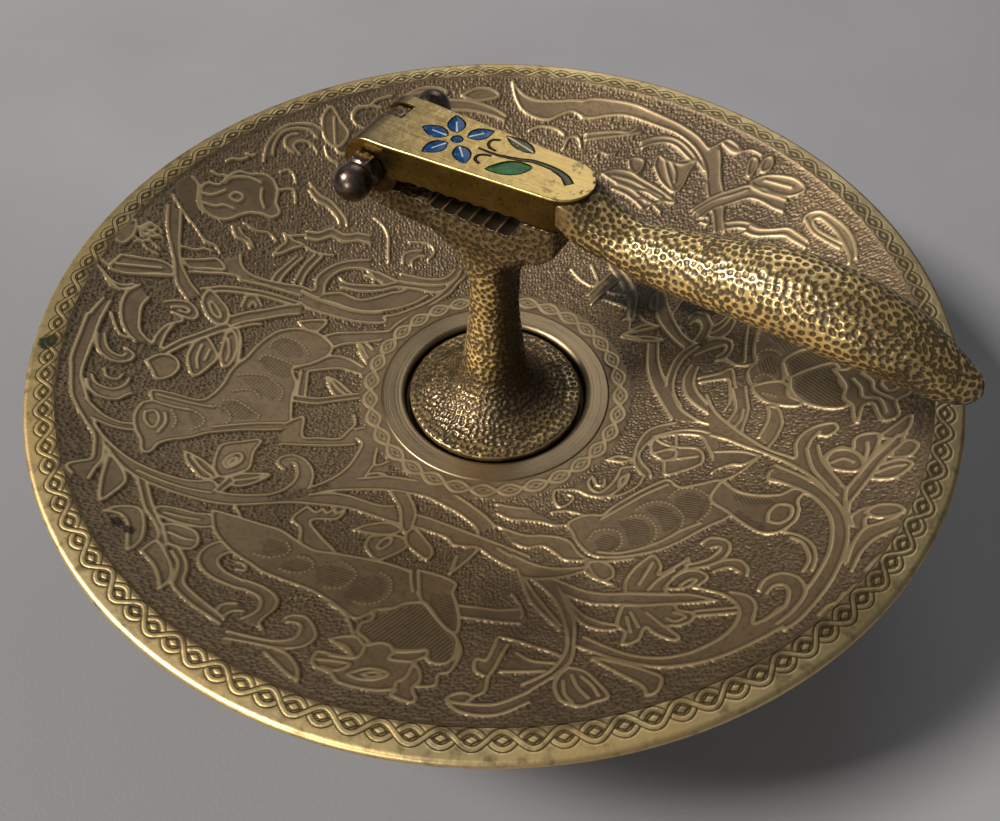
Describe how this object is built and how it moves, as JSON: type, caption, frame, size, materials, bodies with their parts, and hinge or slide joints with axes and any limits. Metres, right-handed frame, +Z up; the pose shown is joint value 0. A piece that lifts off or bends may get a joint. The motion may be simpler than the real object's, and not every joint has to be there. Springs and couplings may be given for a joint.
{
  "type": "nutcracker bowl",
  "caption": "Footed brass dish with a central post that carries a grooved lower jaw, and a hinged lever whose grooved block cracks nuts against it.",
  "frame": {"origin": "on the table, under the middle of the dish, on the axis that dish, foot and post share", "axes": "+Z up out of the dish, +X from the hinge side towards the handle's tip, the hinge axis along Y"},
  "size_m": [0.25, 0.25, 0.1172],
  "materials": {
    "dish_brass": "chased, darkened brass with the raised lines rubbed bright",
    "foot_brass": "spun brass, satin",
    "post_brass": "hammered cast brass, dark in the dimples",
    "lever_brass": "cast brass, block brushed, handle hammered",
    "nut_bronze": "dark bronzed, glossy",
    "steel": "plain turned steel",
    "enamel_blue": "glossy blue enamel",
    "enamel_green": "glossy green enamel",
    "enamel_dark": "worn dark enamel"
  },
  "bodies": {
    "stand": {"dish": "dish_brass", "pedestal_foot": "foot_brass", "post_stud": "steel", "foot_washer": "steel", "spring_washer": "steel", "foot_nut": "steel", "post": "post_brass"},
    "lever_arm": {"lever": "lever_brass", "hinge_pin": "steel", "ball_nut_front": "nut_bronze", "ball_nut_back": "nut_bronze", "petal_1": "enamel_blue", "petal_2": "enamel_blue", "petal_3": "enamel_blue", "petal_4": "enamel_blue", "petal_5": "enamel_blue", "flower_centre": "enamel_blue", "leaf_lower": "enamel_green", "leaf_upper": "enamel_dark", "flower_stem": "enamel_dark", "tendril_upper": "enamel_dark", "tendril_lower": "enamel_dark"}
  },
  "joints": [
    {"name": "lever_hinge", "type": "hinge", "parent": "stand", "child": "lever_arm", "pos_m": [-0.0287, 0, 0.109], "axis": [0, -1, 0], "range_deg": [0, 115]}
  ]
}
